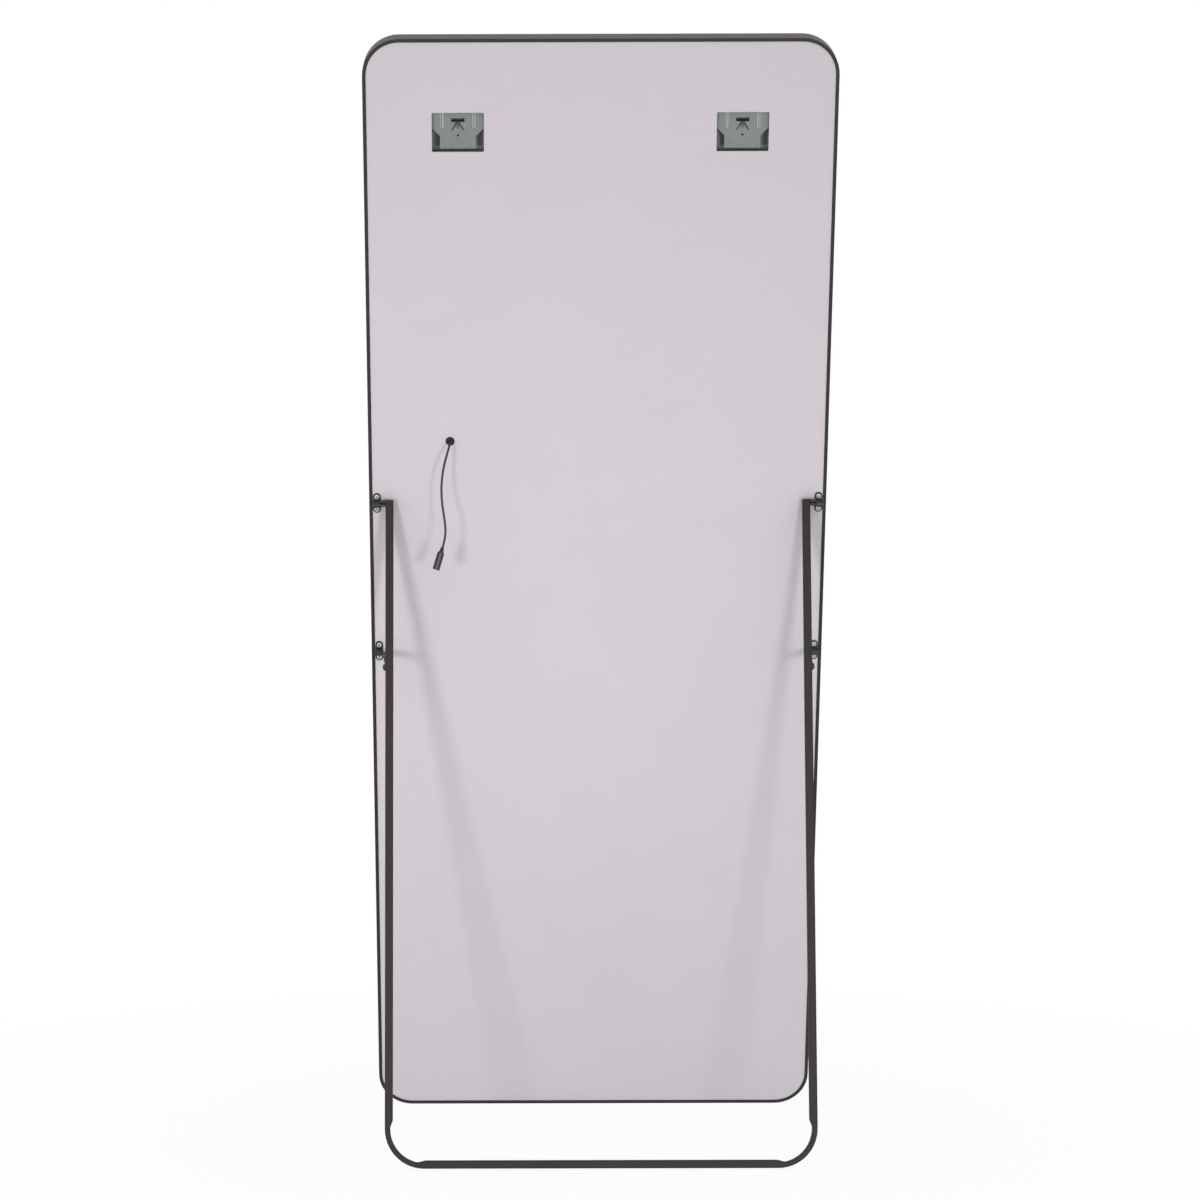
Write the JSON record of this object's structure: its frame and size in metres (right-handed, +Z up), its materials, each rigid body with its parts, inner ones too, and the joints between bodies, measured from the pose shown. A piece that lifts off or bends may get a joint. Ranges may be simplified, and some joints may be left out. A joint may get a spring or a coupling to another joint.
{
  "type": "floor mirror",
  "caption": "Full-length rounded metal-framed mirror with light strip, folding U-shaped tube stand, stays, hanger plates and low-voltage lead.",
  "frame": {"origin": "on the floor, below the middle of the bounding box of the mirror with its stand open, without the free lead", "axes": "+Z up, the glass faces -Y and leans back, the stand is on the +Y side, +X is the right side of a person who looks into the glass"},
  "size_m": [0.71, 0.5622, 1.7112],
  "materials": {
    "black_frame": "satin black coating on aluminium",
    "mill_aluminium": "mill finish",
    "bright_screw": "bright zinc plating",
    "mirror_glass": "silvered float glass",
    "pale_panel": "smooth pale grey-lilac sheet",
    "strip": "white flexible strip",
    "switch_case": "white moulded case",
    "lead_sleeve": "soft black sleeve",
    "grommet_rubber": "black rubber",
    "zinc_sheet": "dull zinc-coated sheet steel",
    "black_casting": "black coated casting",
    "black_steel": "black coated steel",
    "socket_shell": "moulded black shell",
    "contact_brass": "plain brass",
    "black_tube": "satin black powder coat",
    "black_cap": "black moulding"
  },
  "bodies": {
    "mirror": {"frame_profile": "black_frame", "frame_splice": "mill_aluminium", "splice_screws": "bright_screw", "mirror_glass": "mirror_glass", "back_panel": "pale_panel", "led_strip": "strip", "touch_switch": "switch_case", "inner_wiring": "lead_sleeve", "lead_grommet": "grommet_rubber", "hanger_rail": "zinc_sheet", "rail_rivets": "mill_aluminium", "hanger_plate_right": "zinc_sheet", "hanger_plate_left": "zinc_sheet", "hinge_bracket_right": "black_casting", "hinge_bracket_left": "black_casting", "stay_bracket_right": "black_casting", "stay_bracket_left": "black_casting", "bracket_screws": "bright_screw", "hinge_bolts": "bright_screw", "stay_pins": "black_steel", "dc_lead": "lead_sleeve", "socket_body": "socket_shell", "socket_pin": "contact_brass"},
    "stand": {"stand_tube": "black_tube", "leg_cap_right": "black_cap", "leg_cap_left": "black_cap", "leg_inserts": "contact_brass", "leg_bolts": "black_steel"},
    "bracket_link_right": {"bracket_link_right": "black_steel", "knee_rivet_right": "black_steel"},
    "leg_link_right": {"leg_link_right": "black_steel", "knee_tail_right": "black_steel"},
    "bracket_link_left": {"bracket_link_left": "black_steel", "knee_rivet_left": "black_steel"},
    "leg_link_left": {"leg_link_left": "black_steel", "knee_tail_left": "black_steel"}
  },
  "joints": [
    {"name": "stand_fold", "type": "hinge", "parent": "mirror", "child": "stand", "pos_m": [0, 0.07697, 1.00451], "axis": [-1, 0, 0], "range_deg": [0, 26.6]},
    {"name": "bracket_link_right_turn", "type": "hinge", "parent": "mirror", "child": "bracket_link_right", "pos_m": [0.329, 0.00408, 0.76904], "axis": [-1, 0, 0], "range_deg": [-79.63, 0]},
    {"name": "leg_link_right_turn", "type": "hinge", "parent": "stand", "child": "leg_link_right", "pos_m": [0.329, 0.11821, 0.7554], "axis": [-1, 0, 0], "range_deg": [0, 73.81]},
    {"name": "bracket_link_left_turn", "type": "hinge", "parent": "mirror", "child": "bracket_link_left", "pos_m": [-0.329, 0.00408, 0.76904], "axis": [-1, 0, 0], "range_deg": [-79.63, 0]},
    {"name": "leg_link_left_turn", "type": "hinge", "parent": "stand", "child": "leg_link_left", "pos_m": [-0.329, 0.11821, 0.7554], "axis": [-1, 0, 0], "range_deg": [0, 73.81]}
  ],
  "couplings": [
    {"joint": "bracket_link_right_turn", "follows": "stand_fold", "ratio": -2.9929},
    {"joint": "leg_link_right_turn", "follows": "stand_fold", "ratio": 2.774},
    {"joint": "bracket_link_left_turn", "follows": "stand_fold", "ratio": -2.9929},
    {"joint": "leg_link_left_turn", "follows": "stand_fold", "ratio": 2.774}
  ]
}
